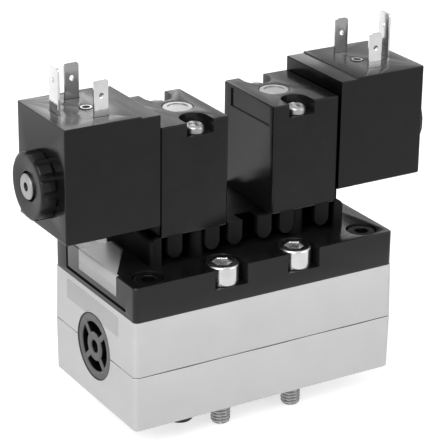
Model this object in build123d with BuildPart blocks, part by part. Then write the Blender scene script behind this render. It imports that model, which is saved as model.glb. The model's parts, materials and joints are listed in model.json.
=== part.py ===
from build123d import *
import os
from math import atan, cos, degrees, radians, sin

os.makedirs("parts", exist_ok=True)

# Body halves: two drafted castings that meet on the axis of the spool
body_length = 90.0
body_width = 51.0
half_height = 17.25
top_inset = 0.4
bottom_inset = 0.2
body_corner = 1.6
joint_chamfer = 0.3
split_z = half_height
body_top = 2 * half_height

# Spool, sleeve and the ports below them
spool_radius = 6.5
running_clearance = 0.05
press_clearance = 0.02
sleeve_radius = 9.5
sleeve_groove_depth = 1.3
sleeve_window_radius = 1.4
sleeve_windows = 4
land_margin = 1.5
port_count = 5
port_radius = 4.0
spool_waist = 4.2
spool_travel = 5.0
land_width = 4.6
ring_width = 2.0
ring_depth = 1.4

# End plugs
plug_radius = 10.4
plug_thickness = 6.0
plug_recess = 0.3
plug_spigot = 2.4
plug_hole_radius = 2.0
plug_slot_inner = 4.5
plug_slot_outer = 7.7
plug_slot_count = 4
plug_spoke = 1.8
plug_slot_depth = 4.4
plug_ring_section = 0.8

# Interface at the base
screw_pitch_x = 25.0
screw_edge = 6.0
screw_radius = 3.0
screw_neck_radius = 2.65
screw_neck_below = 0.1
screw_clearance = 0.3
screw_head_radius = 5.0
screw_head_height = 6.0
screw_socket_flats = 5.0
screw_socket_depth = 3.2
screw_tip_below = 7.3
seal_inner = 4.5
seal_outer = 5.7
seal_groove_depth = 1.3
seal_proud = 0.3
seal_link = 1.4
locating_pin_radius = 3.9
locating_pin_x = -26.7
locating_pin_proud = 2.2
locating_pin_depth = 5.0

# Cover
cover_height = 10.8
cover_inset_x = 0.4
cover_inset_y = 0.5
cover_corner = 1.6
notch_width = 11.2
notch_floor = 4.7
cover_groove_width = 1.1
cover_groove_depth = 0.8
cover_groove_rise = 2.0
cover_groove_back = 17.3
cover_groove_front = -19.0
cover_screw_x = 37.0
cover_screw_edge = 6.5
cover_screw_radius = 2.5
cover_screw_neck_radius = 2.25
cover_screw_thread = 14.0
cover_screw_head_radius = 4.25
cover_screw_head_height = 5.0
cover_screw_length = 30.0
cover_counterbore_clearance = 0.5
cover_counterbore_depth = 5.4
cover_screw_spare = 1.2
cover_socket_flats = 4.0
cover_socket_depth = 2.4
cover_gasket_thickness = 0.8
cover_gasket_length = 78.0
cover_gasket_gap = 4.5
cover_gasket_band = 2.2
cover_bottom = body_top
cover_top = cover_bottom + cover_height

# Pilot manifold between the cover and the two pilots
manifold_height = 9.2
manifold_half_length = 33.0
manifold_core_width = 19.0
manifold_shoulder = 2.4
column_width = 3.0
lug_width = 4.8
lug_height = 4.8
lug_centres = (5.1, 12.9, 25.5)
manifold_bottom = cover_top
manifold_top = manifold_bottom + manifold_height

# Pilot blocks
block_inner_x = 7.65
block_length = 22.95
block_width = 28.8
block_height = 33.3
block_edge = 1.1
block_outer_x = block_inner_x + block_length
block_bottom = manifold_top
block_top = block_bottom + block_height
pilot_screw_x = 17.3
pilot_screw_y = 10.8
pilot_screw_radius = 1.5
pilot_head_radius = 3.0
pilot_head_height = 2.5
pilot_screw_engagement = 7.0
cross_length = 3.4
cross_width = 0.9
cross_depth = 1.4
pilot_pocket_radius = 4.4
pilot_pocket_depth = 4.2
plate_length = 21.6
plate_height = 5.8
plate_y = -0.8
plate_below_top = 0.9
plate_recess = 0.5
passage_radius = 1.1
passage_x = 22.6
end_passage_margin = 3.5
passage_channel_depth = 1.6

# Manual overrides
override_x = 16.6
override_radius = 4.6
override_cap_height = 3.0
override_stem_radius = 2.2
override_travel = 1.2
override_stem_length = 9.0
override_dish = 0.25
override_coil_radius = 3.1
override_wire_radius = 0.3
override_turns = 3
override_spring_height = 2.8

# Solenoid axis and tube
axis_z = 72.0
tube_radius = 6.0
tube_flange_radius = 8.0
tube_flange_length = 6.0
tube_wall = 1.5
stud_radius = 3.8
stud_hole_radius = 1.35
stud_hole_depth = 4.0
stud_shoulder = 2.6
armature_length = 20.0
armature_travel = 1.2
armature_pad = 1.4
pad_radius = 2.4
seat_radius = 3.0
seat_length = 4.0
seat_orifice = 0.6
seat_lip = 0.4
seat_cone = 1.4
spring_length = 6.0
spring_radius = 2.6
spring_wire = 0.35
spring_turns = 4

# Coils with their plug-in contacts
coil_width = 30.0
coil_length = 30.2
coil_bottom = 58.0
coil_top = 92.5
coil_corner = 0.7
coil_edge = 0.6
pad_step = 0.5
pad_inset = 6.0
winding_gap = 0.4
winding_outer = 11.6
winding_margin = 4.0
winding_run = 22.2
coil_clearance = 0.05
contact_pitch = 18.0
contact_line = 15.8
contact_thickness = 0.8
power_width = 4.6
power_height = 10.9
power_hole_height = 6.2
earth_width = 5.4
earth_height = 13.8
earth_hole_height = 9.7
earth_offset = 9.8
contact_depth = 5.0
contact_hole_radius = 0.8
contact_tip = 1.2
insert_radius = 2.0
insert_thread_radius = 1.25
insert_length = 7.0
insert_proud = 0.1

# Coil nuts
nut_radius = 10.05
nut_length = 4.7
nut_flutes = 12
nut_flute_radius = 1.8
nut_rim = 1.8
nut_hub_radius = 4.5
nut_dish = 1.2
nut_recess = 2.0
stud_proud = 0.3
nut_ring_radius = 7.0
nut_ring_section = 0.7

# Label folded over the left end of the cover
label_thickness = 0.15
label_front = -14.0
label_back = 9.3
label_drop = 6.4
label_gap = 0.6
label_cut = 16.3

screw_pitch_y = body_width - 2 * screw_edge
sleeve_half = body_length / 2 - plug_recess - plug_thickness
spool_length = 2 * (sleeve_half - plug_spigot) - spool_travel
end_passage_x = sleeve_half - end_passage_margin
port_pitch = (spool_length - land_width - 2 * land_margin) / port_count
cover_screw_y = body_width / 2 - cover_screw_edge
cover_gasket_width = 2 * (cover_screw_y - cover_gasket_gap)
coil_outer_x = block_outer_x + coil_length
contact_x = block_outer_x + contact_line
earth_x = contact_x + earth_offset
stud_end = coil_outer_x + nut_length + stud_proud
cover_screw_seat = cover_top - cover_counterbore_depth
cover_screw_tip = cover_screw_seat - cover_screw_length
cover_screw_neck = cover_screw_tip + cover_screw_thread
notch_z = cover_bottom + notch_floor
flange_x = block_outer_x - tube_flange_length
core_x = flange_x + armature_length + armature_travel
override_cap_z = block_top - override_cap_height
override_seat_z = override_cap_z - override_spring_height
override_stem_z = override_cap_z - override_stem_length
override_floor_z = override_stem_z - override_travel
port_positions = [port_pitch * (i - (port_count - 1) / 2) for i in range(port_count)]
sides = ((-1, "left"), (1, "right"))


def write(piece, label):
    piece.label = label
    export_step(piece, "parts/" + label + ".step")


def drafted_half(towards, inset):
    split_plane = Plane(origin=(0, 0, split_z), x_dir=(1, 0, 0), z_dir=(0, 0, towards))
    with BuildSketch(split_plane) as outline:
        RectangleRounded(body_length, body_width, body_corner)
    extrude(outline.sketch, amount=half_height, taper=degrees(atan(inset / half_height)))


def bore_along_x(radius, from_x, to_x, height):
    with BuildSketch(Plane.YZ.offset(from_x)) as circle:
        with Locations((0, height)):
            Circle(radius)
    extrude(circle.sketch, amount=to_x - from_x, mode=Mode.SUBTRACT)


def cut_spool_bore():
    bore_along_x(sleeve_radius, -body_length / 2, body_length / 2, split_z)
    for side in (-1, 1):
        bore_along_x(plug_radius + press_clearance, side * sleeve_half, side * body_length / 2, split_z)


# Lower body half: base face, ports, seal groove and the lower half of the bore
with BuildPart() as lower_body:
    drafted_half(-1, bottom_inset)
    chamfer(faces().sort_by(Axis.Z)[0].edges(), joint_chamfer)
    chamfer(faces().sort_by(Axis.Z)[-1].edges(), joint_chamfer)
    cut_spool_bore()
    with BuildSketch():
        with GridLocations(screw_pitch_x, screw_pitch_y, 2, 2):
            Circle(screw_radius + screw_clearance)
    extrude(amount=half_height, mode=Mode.SUBTRACT)
    with BuildSketch():
        with Locations(*[(x, 0) for x in port_positions]):
            Circle(port_radius)
    extrude(amount=split_z, mode=Mode.SUBTRACT)
    with BuildSketch():
        with Locations(*[(x, 0) for x in port_positions]):
            Circle(seal_outer + press_clearance)
        Rectangle(port_pitch * (port_count - 1), seal_link + 2 * press_clearance)
    extrude(amount=seal_groove_depth, mode=Mode.SUBTRACT)
    with BuildSketch():
        with Locations((locating_pin_x, -screw_pitch_y / 2)):
            Circle(locating_pin_radius + press_clearance)
    extrude(amount=locating_pin_depth, mode=Mode.SUBTRACT)
    with BuildSketch(Plane.XY.offset(cover_screw_tip - cover_screw_spare)):
        with GridLocations(2 * cover_screw_x, 2 * cover_screw_y, 2, 2):
            Circle(cover_screw_radius + press_clearance)
    extrude(amount=half_height, mode=Mode.SUBTRACT)
write(lower_body.part, "lower_body")

# Upper body half: upper half of the bore and the air ways to the pilots
with BuildPart() as upper_body:
    drafted_half(1, top_inset)
    chamfer(faces().sort_by(Axis.Z)[0].edges(), joint_chamfer)
    cut_spool_bore()
    with BuildSketch(Plane.XY.offset(split_z)):
        with GridLocations(screw_pitch_x, screw_pitch_y, 2, 2):
            Circle(screw_radius + screw_clearance)
        with GridLocations(2 * cover_screw_x, 2 * cover_screw_y, 2, 2):
            Circle(cover_screw_radius + screw_clearance)
        with Locations((-end_passage_x, 0), (end_passage_x, 0)):
            Circle(passage_radius)
    extrude(amount=half_height, mode=Mode.SUBTRACT)
write(upper_body.part, "upper_body")

# Sleeve between the halves, with a groove and a ring of windows at each port
with BuildPart() as spool_sleeve:
    with BuildSketch(Plane.YZ.offset(-sleeve_half)):
        with Locations((0, split_z)):
            Circle(sleeve_radius - press_clearance)
            Circle(spool_radius, mode=Mode.SUBTRACT)
    extrude(amount=2 * sleeve_half)
    for x in port_positions:
        with BuildSketch(Plane.YZ.offset(x - port_radius)):
            with Locations((0, split_z)):
                Circle(sleeve_radius)
                Circle(sleeve_radius - sleeve_groove_depth, mode=Mode.SUBTRACT)
        extrude(amount=2 * port_radius, mode=Mode.SUBTRACT)
        for turn in range(sleeve_windows):
            angle = 360 * turn / sleeve_windows
            window_plane = Plane(
                origin=(x, 0, split_z),
                x_dir=(1, 0, 0),
                z_dir=(0, cos(radians(angle)), sin(radians(angle))),
            )
            with BuildSketch(window_plane):
                Circle(sleeve_window_radius)
            extrude(amount=sleeve_radius, mode=Mode.SUBTRACT)
    with BuildSketch(Plane.XY.offset(split_z)):
        with Locations((-end_passage_x, 0), (end_passage_x, 0)):
            Circle(passage_radius)
    extrude(amount=sleeve_radius, mode=Mode.SUBTRACT)
write(spool_sleeve.part, "spool_sleeve")

# Spool at its left end position, turned with one land and ring groove for each seal
spool_left = -sleeve_half + plug_spigot
land_centres = [port_pitch * (i - port_count / 2) - spool_travel / 2 for i in range(port_count + 1)]
with BuildPart() as spool:
    with BuildSketch(Plane.YZ.offset(spool_left)):
        with Locations((0, split_z)):
            Circle(spool_waist)
    extrude(amount=spool_length)
    for x in land_centres:
        with BuildSketch(Plane.YZ.offset(x - land_width / 2)):
            with Locations((0, split_z)):
                Circle(spool_radius - running_clearance)
        extrude(amount=land_width)
        with BuildSketch(Plane.YZ.offset(x - ring_width / 2)):
            with Locations((0, split_z)):
                Circle(spool_radius)
                Circle(spool_radius - ring_depth, mode=Mode.SUBTRACT)
        extrude(amount=ring_width, mode=Mode.SUBTRACT)
write(spool.part, "spool")

with BuildPart() as spool_rings:
    for x in land_centres:
        with BuildSketch(Plane.YZ.offset(x - ring_width / 2 + press_clearance)):
            with Locations((0, split_z)):
                Circle(spool_radius - running_clearance)
                Circle(spool_radius - ring_depth + press_clearance, mode=Mode.SUBTRACT)
        extrude(amount=ring_width - 2 * press_clearance)
write(spool_rings.part, "spool_rings")


# End plug: flange with four curved slots round a centre hole, and a spigot in the sleeve
def end_plug(side):
    with BuildPart() as plug:
        face_x = side * (sleeve_half + plug_thickness)
        with BuildSketch(Plane.YZ.offset(side * sleeve_half)):
            with Locations((0, split_z)):
                Circle(plug_radius)
        extrude(amount=side * plug_thickness)
        chamfer(edges().filter_by(GeomType.CIRCLE), joint_chamfer)
        with BuildSketch(Plane.YZ.offset(side * (sleeve_half - plug_spigot))):
            with Locations((0, split_z)):
                Circle(spool_radius - running_clearance)
        extrude(amount=side * plug_spigot)
        with BuildSketch(Plane.YZ.offset(face_x)):
            with Locations((0, split_z)):
                Circle(plug_slot_outer)
                Circle(plug_slot_inner, mode=Mode.SUBTRACT)
                Circle(plug_hole_radius)
                for turn in range(plug_slot_count // 2):
                    Rectangle(
                        2 * plug_slot_outer + plug_spoke,
                        plug_spoke,
                        rotation=45 + 90 * turn,
                        mode=Mode.SUBTRACT,
                    )
                Circle(plug_hole_radius)
        extrude(amount=-side * plug_slot_depth, mode=Mode.SUBTRACT)
        with BuildSketch(Plane.YZ.offset(side * (sleeve_half + plug_ring_section))):
            with Locations((0, split_z)):
                Circle(plug_radius)
                Circle(plug_radius - plug_ring_section, mode=Mode.SUBTRACT)
        extrude(amount=side * plug_ring_section, mode=Mode.SUBTRACT)
    return plug.part


# Square-section ring, lying in the groove that is cut for it
def flat_ring(from_x, width, outer, inner, height):
    with BuildPart() as ring:
        with BuildSketch(Plane.YZ.offset(from_x)):
            with Locations((0, height)):
                Circle(outer)
                Circle(inner, mode=Mode.SUBTRACT)
        extrude(amount=width)
    return ring.part


for side, name in sides:
    write(end_plug(side), "end_plug_" + name)
    ring_start = side * (sleeve_half + plug_ring_section + press_clearance)
    ring_run = side * (plug_ring_section - 2 * press_clearance)
    ring_inner = plug_radius - plug_ring_section + press_clearance
    write(flat_ring(ring_start, ring_run, plug_radius, ring_inner, split_z), "plug_ring_" + name)

# Interface seal: a ring round each port, joined by a link
with BuildPart() as interface_seal:
    with BuildSketch(Plane.XY.offset(-seal_proud)):
        with Locations(*[(x, 0) for x in port_positions]):
            Circle(seal_outer)
        Rectangle(port_pitch * (port_count - 1), seal_link)
        with Locations(*[(x, 0) for x in port_positions]):
            Circle(seal_inner, mode=Mode.SUBTRACT)
    extrude(amount=seal_proud + seal_groove_depth)
write(interface_seal.part, "interface_seal")

with BuildPart() as locating_pin:
    with BuildSketch(Plane.XY.offset(-locating_pin_proud)):
        with Locations((locating_pin_x, -screw_pitch_y / 2)):
            Circle(locating_pin_radius)
    extrude(amount=locating_pin_proud + locating_pin_depth)
    chamfer(faces().sort_by(Axis.Z)[0].edges(), joint_chamfer)
write(locating_pin.part, "locating_pin")


# Socket head screws on a four-hole rectangle, with a neck from the thread to the head
def socket_screws(pitch_x, pitch_y, tip_z, neck_z, seat_z, thread, neck, head, head_height, flats, socket):
    with BuildPart() as screws:
        for x, y in [(sx * pitch_x / 2, sy * pitch_y / 2) for sx in (-1, 1) for sy in (-1, 1)]:
            with BuildSketch(Plane.XY.offset(tip_z)):
                with Locations((x, y)):
                    Circle(thread)
            extrude(amount=neck_z - tip_z)
            with BuildSketch(Plane.XY.offset(neck_z)):
                with Locations((x, y)):
                    Circle(neck)
            extrude(amount=seat_z - neck_z)
            with BuildSketch(Plane.XY.offset(seat_z)):
                with Locations((x, y)):
                    Circle(head)
            extrude(amount=head_height)
            with BuildSketch(Plane.XY.offset(seat_z + head_height)):
                with Locations((x, y)):
                    RegularPolygon(flats / 2, 6, major_radius=False)
            extrude(amount=-socket, mode=Mode.SUBTRACT)
        chamfer(edges().filter_by(GeomType.CIRCLE).group_by(Axis.Z)[0], thread / 5)
        rims = edges().filter_by(GeomType.CIRCLE).group_by(Axis.Z)[-1]
        chamfer(rims, head / 10)
    return screws.part


mounting_screws = socket_screws(
    screw_pitch_x,
    screw_pitch_y,
    -screw_tip_below,
    -screw_neck_below,
    notch_z,
    screw_radius,
    screw_neck_radius,
    screw_head_radius,
    screw_head_height,
    screw_socket_flats,
    screw_socket_depth,
)
write(mounting_screws, "mounting_screws")
cover_screws = socket_screws(
    2 * cover_screw_x,
    2 * cover_screw_y,
    cover_screw_tip,
    cover_screw_neck,
    cover_screw_seat,
    cover_screw_radius,
    cover_screw_neck_radius,
    cover_screw_head_radius,
    cover_screw_head_height,
    cover_socket_flats,
    cover_socket_depth,
)
write(cover_screws, "cover_screws")

# Cover: moulded lid with open notches for the mounting screws
cover_length = body_length - 2 * cover_inset_x
cover_width = body_width - 2 * cover_inset_y
with BuildPart() as cover:
    with BuildSketch(Plane.XY.offset(cover_bottom)):
        RectangleRounded(cover_length, cover_width, cover_corner)
    extrude(amount=cover_height)
    chamfer(faces().sort_by(Axis.Z)[-1].edges(), joint_chamfer)
    with BuildSketch(Plane.XY.offset(notch_z)):
        for x in (-screw_pitch_x / 2, screw_pitch_x / 2):
            for toward in (-1, 1):
                with Locations((x, toward * screw_pitch_y / 2)):
                    Circle(notch_width / 2)
                with Locations((x, toward * (screw_pitch_y + cover_width) / 4)):
                    Rectangle(notch_width, (cover_width - screw_pitch_y) / 2)
    extrude(amount=cover_height, mode=Mode.SUBTRACT)
    with BuildSketch(Plane.XY.offset(cover_bottom)):
        with GridLocations(screw_pitch_x, screw_pitch_y, 2, 2):
            Circle(screw_radius + screw_clearance)
        with GridLocations(2 * cover_screw_x, 2 * cover_screw_y, 2, 2):
            Circle(cover_screw_radius + screw_clearance)
        with Locations((-passage_x, 0), (passage_x, 0)):
            Circle(passage_radius)
    extrude(amount=cover_height, mode=Mode.SUBTRACT)
    with BuildSketch(Plane.XY.offset(cover_screw_seat)):
        with GridLocations(2 * cover_screw_x, 2 * cover_screw_y, 2, 2):
            Circle(cover_screw_head_radius + cover_counterbore_clearance)
    extrude(amount=cover_counterbore_depth, mode=Mode.SUBTRACT)
    with BuildSketch(Plane.XY.offset(cover_bottom)):
        for side in (-1, 1):
            with Locations((side * (passage_x + end_passage_x) / 2, 0)):
                Rectangle(end_passage_x - passage_x + 2 * passage_radius, 2 * passage_radius)
    extrude(amount=passage_channel_depth, mode=Mode.SUBTRACT)
    with BuildSketch(Plane.XY.offset(cover_bottom)):
        Rectangle(cover_gasket_length + 2 * press_clearance, cover_gasket_width + 2 * press_clearance)
        Rectangle(
            cover_gasket_length - 2 * cover_gasket_band - 2 * press_clearance,
            cover_gasket_width - 2 * cover_gasket_band - 2 * press_clearance,
            mode=Mode.SUBTRACT,
        )
    extrude(amount=cover_gasket_thickness, mode=Mode.SUBTRACT)
    for side in (-1, 1):
        groove_low = cover_bottom + cover_groove_rise
        with BuildSketch(Plane.YZ.offset(side * cover_length / 2)):
            with BuildLine():
                Polyline(
                    (cover_groove_front, groove_low),
                    (cover_groove_back, groove_low),
                    (cover_groove_back, cover_top + cover_groove_width),
                )
                offset(amount=cover_groove_width / 2, side=Side.BOTH)
            make_face()
        extrude(amount=-side * cover_groove_depth, mode=Mode.SUBTRACT)
write(cover.part, "cover")

with BuildPart() as cover_gasket:
    with BuildSketch(Plane.XY.offset(cover_bottom)):
        Rectangle(cover_gasket_length, cover_gasket_width)
        Rectangle(
            cover_gasket_length - 2 * cover_gasket_band,
            cover_gasket_width - 2 * cover_gasket_band,
            mode=Mode.SUBTRACT,
        )
    extrude(amount=cover_gasket_thickness)
write(cover_gasket.part, "cover_gasket")

# Label: thin sheet folded over the left end of the cover, one corner cut off
label_x = -cover_length / 2
label_reach = cover_length / 2 - manifold_half_length - label_gap
with BuildPart() as label:
    with BuildSketch(Plane.YZ.offset(label_x)):
        with BuildLine():
            Polyline(
                (label_front, cover_top + label_thickness),
                (label_back, cover_top + label_thickness),
                (label_back, cover_top - label_drop),
                (label_front, cover_top - label_drop),
                close=True,
            )
        make_face()
    extrude(amount=-label_thickness)
    with BuildSketch(Plane.XY.offset(cover_top)):
        with BuildLine():
            Polyline(
                (label_x, label_front),
                (label_x + label_reach, label_front + label_cut),
                (label_x + label_reach, label_back),
                (label_x, label_back),
                close=True,
            )
        make_face()
    extrude(amount=label_thickness)
write(label.part, "label")

# Pilot manifold: a core with end columns, screw pillars and round-ended lugs
with BuildPart() as pilot_manifold:
    with BuildSketch(Plane.XY.offset(manifold_bottom)):
        Rectangle(2 * (manifold_half_length - column_width), manifold_core_width)
        for x in (-pilot_screw_x, pilot_screw_x):
            for y in (-pilot_screw_y, pilot_screw_y):
                with Locations((x, y)):
                    Circle(pilot_head_radius)
        for side in (-1, 1):
            with Locations((side * (manifold_half_length - column_width / 2), 0)):
                Rectangle(column_width, block_width)
    extrude(amount=manifold_height)
    for facing in (-1, 1):
        with BuildSketch(Plane.XZ.offset(facing * manifold_core_width / 2)):
            for side in (-1, 1):
                for x in lug_centres:
                    with Locations((side * x, manifold_top - lug_height / 2)):
                        Rectangle(lug_width, lug_height)
                    with Locations((side * x, manifold_top - lug_height)):
                        Circle(lug_width / 2)
        extrude(amount=facing * (block_width - manifold_core_width) / 2)
    top_edges = faces().sort_by(Axis.Z)[-1].edges().filter_by(Axis.Y).group_by(Axis.X)
    fillet(top_edges[0] + top_edges[-1], manifold_shoulder)
    with BuildSketch(Plane.XY.offset(manifold_top - pilot_screw_engagement)):
        for x in (-pilot_screw_x, pilot_screw_x):
            for y in (-pilot_screw_y, pilot_screw_y):
                with Locations((x, y)):
                    Circle(pilot_screw_radius + press_clearance)
    extrude(amount=pilot_screw_engagement, mode=Mode.SUBTRACT)
    with BuildSketch(Plane.XY.offset(manifold_bottom)):
        with Locations((-passage_x, 0), (passage_x, 0)):
            Circle(passage_radius)
    extrude(amount=manifold_height, mode=Mode.SUBTRACT)
write(pilot_manifold.part, "pilot_manifold")


def mid(from_x, to_x):
    return (from_x + to_x) / 2


# Pilot block: housing for the seat, the tube flange and the manual override
def pilot_block(side):
    with BuildPart() as block:
        with BuildSketch(Plane.XY.offset(block_bottom)):
            with Locations((side * mid(block_inner_x, block_outer_x), 0)):
                Rectangle(block_length, block_width)
        extrude(amount=block_height)
        inner_corners = edges().filter_by(Axis.Z).sort_by(Axis.X)
        inner_corners = inner_corners[:2] if side > 0 else inner_corners[-2:]
        fillet(inner_corners, block_edge)
        chamfer(faces().sort_by(Axis.Z)[-1].edges(), joint_chamfer)
        with BuildSketch(Plane.XY.offset(block_top - pilot_pocket_depth)):
            for toward in (-1, 1):
                with Locations((side * pilot_screw_x, toward * pilot_screw_y)):
                    Circle(pilot_pocket_radius)
                with Locations((side * pilot_screw_x, toward * mid(pilot_screw_y, block_width / 2))):
                    Rectangle(2 * pilot_pocket_radius, block_width / 2 - pilot_screw_y)
        extrude(amount=pilot_pocket_depth, mode=Mode.SUBTRACT)
        with BuildSketch(Plane.XY.offset(block_bottom)):
            with Locations((side * pilot_screw_x, -pilot_screw_y), (side * pilot_screw_x, pilot_screw_y)):
                Circle(pilot_screw_radius + screw_clearance)
        extrude(amount=block_height, mode=Mode.SUBTRACT)
        with BuildSketch(Plane.XY.offset(override_seat_z)):
            with Locations((side * override_x, 0)):
                Circle(override_radius + running_clearance)
        extrude(amount=block_top - override_seat_z, mode=Mode.SUBTRACT)
        with BuildSketch(Plane.XY.offset(override_floor_z)):
            with Locations((side * override_x, 0)):
                Circle(override_stem_radius + running_clearance)
        extrude(amount=block_top - override_floor_z, mode=Mode.SUBTRACT)
        bore_along_x(tube_flange_radius + press_clearance, side * flange_x, side * block_outer_x, axis_z)
        bore_along_x(seat_radius + press_clearance, side * (flange_x - seat_length), side * flange_x, axis_z)
        with BuildSketch(Plane.XY.offset(block_bottom)):
            with Locations((side * passage_x, 0)):
                Circle(passage_radius)
        extrude(amount=axis_z - block_bottom - seat_radius, mode=Mode.SUBTRACT)
        with BuildSketch(Plane.YZ.offset(side * block_inner_x)):
            with Locations((plate_y, block_top - plate_below_top - plate_height / 2)):
                Rectangle(plate_length, plate_height)
        extrude(amount=side * plate_recess, mode=Mode.SUBTRACT)
    return block.part


def pan_screws(side):
    with BuildPart() as screws:
        for y in (-pilot_screw_y, pilot_screw_y):
            with BuildSketch(Plane.XY.offset(manifold_top - pilot_screw_engagement)):
                with Locations((side * pilot_screw_x, y)):
                    Circle(pilot_screw_radius)
            extrude(amount=block_height - pilot_pocket_depth + pilot_screw_engagement)
            with BuildSketch(Plane.XY.offset(block_top - pilot_pocket_depth)):
                with Locations((side * pilot_screw_x, y)):
                    Circle(pilot_head_radius)
            extrude(amount=pilot_head_height)
        fillet(edges().filter_by(GeomType.CIRCLE).group_by(Axis.Z)[-1], pilot_head_height / 3)
        for y in (-pilot_screw_y, pilot_screw_y):
            with BuildSketch(Plane.XY.offset(block_top - pilot_pocket_depth + pilot_head_height)):
                with Locations((side * pilot_screw_x, y)):
                    Rectangle(cross_length, cross_width)
                    Rectangle(cross_width, cross_length)
            extrude(amount=-cross_depth, mode=Mode.SUBTRACT)
    return screws.part


# Flat cap with a shallow dish, on a stem that runs down to the pilot seat
def manual_override(side):
    with BuildPart() as override:
        with BuildSketch(Plane.XY.offset(override_cap_z)):
            with Locations((side * override_x, 0)):
                Circle(override_radius)
        extrude(amount=override_cap_height)
        chamfer(faces().sort_by(Axis.Z)[-1].edges(), joint_chamfer)
        with BuildSketch(Plane.XY.offset(block_top)):
            with Locations((side * override_x, 0)):
                Circle(override_radius * 2 / 3)
        extrude(amount=-override_dish, mode=Mode.SUBTRACT)
        with BuildSketch(Plane.XY.offset(override_stem_z)):
            with Locations((side * override_x, 0)):
                Circle(override_stem_radius)
        extrude(amount=override_stem_length)
    return override.part


def coil_spring(plane, length, radius, wire, turns):
    with BuildPart() as spring:
        with BuildLine(plane):
            rise = length - 2 * wire
            path = Helix(pitch=rise / turns, height=rise, radius=radius, direction=plane.z_dir)
        with BuildSketch(Plane(origin=path @ 0, z_dir=path % 0)):
            RegularPolygon(wire, 4)
        sweep(path=path, is_frenet=True)
    return spring.part


# Solid of revolution about the solenoid axis, from (distance along the axis, radius) corners
def turned(side, corners):
    with BuildPart() as piece:
        with BuildSketch(Plane.XZ):
            with BuildLine():
                Polyline(*[(side * x, axis_z + r) for x, r in corners], close=True)
            make_face()
        revolve(axis=Axis((0, 0, axis_z), (1, 0, 0)))
    return piece.part


def armature_tube(side):
    bore = tube_radius - tube_wall
    stud_start = coil_outer_x - stud_shoulder
    return turned(
        side,
        [
            (flange_x, bore),
            (flange_x, tube_flange_radius),
            (block_outer_x, tube_flange_radius),
            (block_outer_x, tube_radius),
            (stud_start, tube_radius),
            (stud_start, stud_radius),
            (stud_end - joint_chamfer, stud_radius),
            (stud_end, stud_radius - joint_chamfer),
            (stud_end, stud_hole_radius),
            (stud_end - stud_hole_depth, stud_hole_radius),
            (stud_end - stud_hole_depth, 0),
            (core_x, 0),
            (core_x, bore),
        ],
    )


# Plunger with a rubber pad at the seat end and a pocket for its spring at the other
def armature(side):
    outer = tube_radius - tube_wall - running_clearance
    end = flange_x + armature_length
    pocket = spring_radius + spring_wire + screw_clearance
    return turned(
        side,
        [
            (flange_x + armature_pad, 0),
            (flange_x + armature_pad, pad_radius + press_clearance),
            (flange_x, pad_radius + press_clearance),
            (flange_x, outer - joint_chamfer),
            (flange_x + joint_chamfer, outer),
            (end, outer),
            (end, pocket),
            (core_x - spring_length, pocket),
            (core_x - spring_length, 0),
        ],
    )


def armature_seal(side):
    start = flange_x + press_clearance
    end = flange_x + armature_pad - press_clearance
    return turned(side, [(start, 0), (start, pad_radius), (end, pad_radius), (end, 0)])


def pilot_seat(side):
    start = flange_x - seat_length
    return turned(
        side,
        [
            (start, seat_orifice),
            (start, seat_radius),
            (flange_x - seat_cone, seat_radius),
            (flange_x, seat_orifice + seat_lip),
            (flange_x, seat_orifice),
        ],
    )


# Moulded coil: body with rounded lower corners, a raised connector face and slots for the blades
def coil(side):
    with BuildPart() as moulding:
        with BuildSketch(Plane.XZ.offset(-coil_width / 2)):
            with Locations((side * mid(block_outer_x, coil_outer_x), mid(coil_bottom, coil_top - pad_step))):
                Rectangle(coil_length, coil_top - pad_step - coil_bottom)
            with Locations((side * mid(block_outer_x + pad_inset, coil_outer_x), coil_top - pad_step)):
                Rectangle(coil_length - pad_inset, 2 * pad_step)
        extrude(amount=coil_width)
        outer_low = edges().filter_by(Axis.Y).group_by(Axis.Z)[0]
        fillet(outer_low.sort_by(Axis.X)[-1 if side > 0 else 0], coil_corner)
        outer_face = faces().sort_by(Axis.X)[-1 if side > 0 else 0]
        fillet(outer_face.edges().filter_by(Axis.Z), coil_edge)
        bore_along_x(tube_radius + coil_clearance, side * block_outer_x, side * coil_outer_x, axis_z)
        with BuildSketch(Plane.YZ.offset(side * (block_outer_x + winding_margin))):
            with Locations((0, axis_z)):
                Circle(winding_outer + press_clearance)
        extrude(amount=side * winding_run, mode=Mode.SUBTRACT)
        with BuildSketch(Plane.XY.offset(coil_top)):
            with Locations((side * contact_x, -contact_pitch / 2), (side * contact_x, contact_pitch / 2)):
                Rectangle(power_width + 2 * press_clearance, contact_thickness + 2 * press_clearance)
            with Locations((side * earth_x, 0)):
                Rectangle(contact_thickness + 2 * press_clearance, earth_width + 2 * press_clearance)
        extrude(amount=-contact_depth, mode=Mode.SUBTRACT)
        with BuildSketch(Plane.XY.offset(coil_top)):
            with Locations((side * contact_x, 0)):
                Circle(insert_radius + press_clearance)
        extrude(amount=-insert_length, mode=Mode.SUBTRACT)
    return moulding.part


def winding(side):
    start = block_outer_x + winding_margin + press_clearance
    end = block_outer_x + winding_margin + winding_run - press_clearance
    return turned(
        side,
        [
            (start, tube_radius + winding_gap),
            (start, winding_outer),
            (end, winding_outer),
            (end, tube_radius + winding_gap),
        ],
    )


# Flat blade with a hole and a chamfered tip, standing in its slot
def blade(plane, width, height, hole_height):
    with BuildPart() as contact:
        with BuildSketch(plane):
            with Locations((0, (height - contact_depth) / 2)):
                Rectangle(width, height + contact_depth)
        extrude(amount=contact_thickness / 2, both=True)
        tip = faces().sort_by(Axis.Z)[-1].edges().sort_by(SortBy.LENGTH)[:2]
        chamfer(tip, contact_tip)
        with BuildSketch(plane):
            with Locations((0, hole_height)):
                Circle(contact_hole_radius)
        extrude(amount=contact_thickness, both=True, mode=Mode.SUBTRACT)
    return contact.part


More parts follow.
